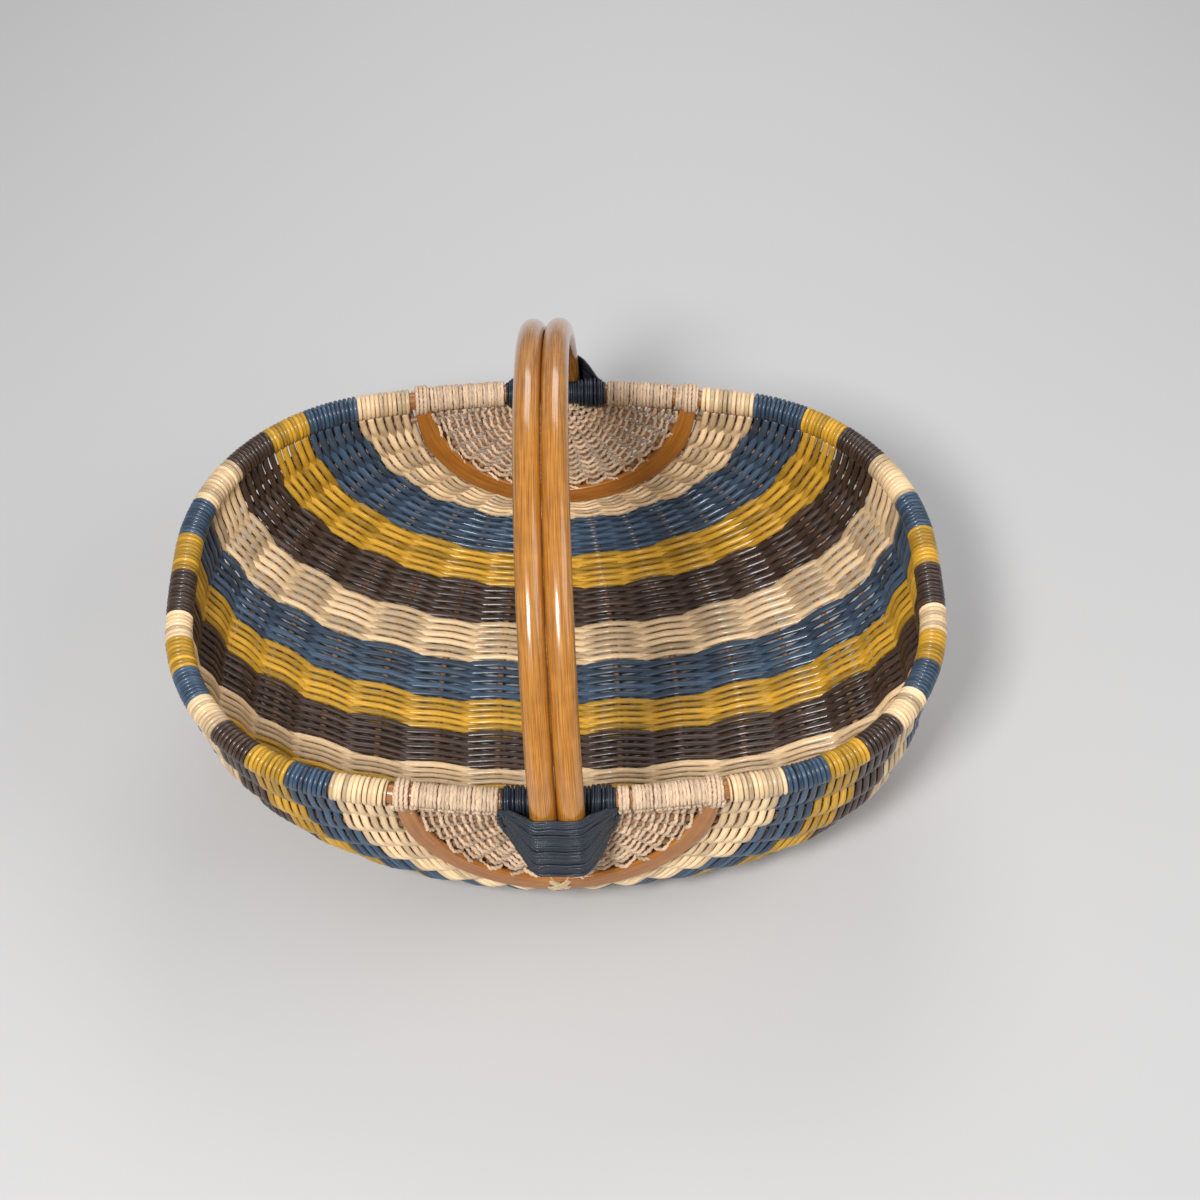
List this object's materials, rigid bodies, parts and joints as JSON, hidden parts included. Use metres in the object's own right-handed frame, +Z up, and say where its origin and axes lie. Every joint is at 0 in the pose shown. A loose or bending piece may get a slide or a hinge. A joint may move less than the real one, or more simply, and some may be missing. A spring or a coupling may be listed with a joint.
{
  "type": "woven fruit basket",
  "caption": "Oval shallow basket woven rim to rim in striped dyed reed over fanned ribs, with crescent ears and a twin-pole arched handle lashed at both sides.",
  "frame": {"origin": "centre of the bounding box on the ground under the basket", "axes": "+Z up, +X along the basket's long side, -Y towards the front ear; the handle arches over from front to back in the Y-Z plane"},
  "size_m": [0.4216, 0.3378, 0.2631],
  "materials": {
    "cream_reed": "natural round reed, clear varnish",
    "blue_reed": "blue-dyed round reed, clear varnish",
    "yellow_reed": "mustard-dyed round reed, clear varnish",
    "brown_reed": "dark brown dyed round reed, clear varnish",
    "rib_rattan": "natural rattan rod",
    "rim_rattan": "natural rattan pole, clear varnish",
    "handle_rattan": "amber rattan pole, glossy varnish with dark streaks",
    "bent_strip": "bent flat rattan strip, varnished",
    "navy_twine": "navy twisted seagrass twine",
    "cream_twine": "cream two-ply twine",
    "seagrass_cord": "tan two-ply seagrass cord, fuzzy"
  },
  "bodies": {
    "root": {"back_ear_strip_inner": "bent_strip", "back_ear_strip_outer": "bent_strip", "back_ear_tie": "cream_twine", "back_ear_weave": "seagrass_cord", "back_handle_lashing": "navy_twine", "front_ear_strip_inner": "bent_strip", "front_ear_strip_outer": "bent_strip", "front_ear_tie": "cream_twine", "front_ear_weave": "seagrass_cord", "front_handle_lashing": "navy_twine", "handle_pole_left": "handle_rattan", "handle_pole_right": "handle_rattan", "rib_01": "rib_rattan", "rib_02": "rib_rattan", "rib_03": "rib_rattan", "rib_04": "rib_rattan", "rib_05": "rib_rattan", "rib_06": "rib_rattan", "rib_07": "rib_rattan", "rib_08": "rib_rattan", "rib_09": "rib_rattan", "rib_10": "rib_rattan", "rib_11": "rib_rattan", "rib_12": "rib_rattan", "rib_13": "rib_rattan", "rib_14": "rib_rattan", "rib_15": "rib_rattan", "rib_16": "rib_rattan", "rib_17": "rib_rattan", "rim_hoop": "rim_rattan", "weave_01_cream": "cream_reed", "weave_02_blue": "blue_reed", "weave_03_yellow": "yellow_reed", "weave_04_brown": "brown_reed", "weave_05_cream": "cream_reed", "weave_06_blue": "blue_reed", "weave_07_yellow": "yellow_reed", "weave_08_brown": "brown_reed", "weave_09_cream": "cream_reed", "weave_10_yellow": "yellow_reed", "weave_11_blue": "blue_reed", "weave_12_cream": "cream_reed", "weave_13_brown": "brown_reed", "weave_14_yellow": "yellow_reed", "weave_15_blue": "blue_reed", "weave_16_cream": "cream_reed"}
  },
  "joints": []
}
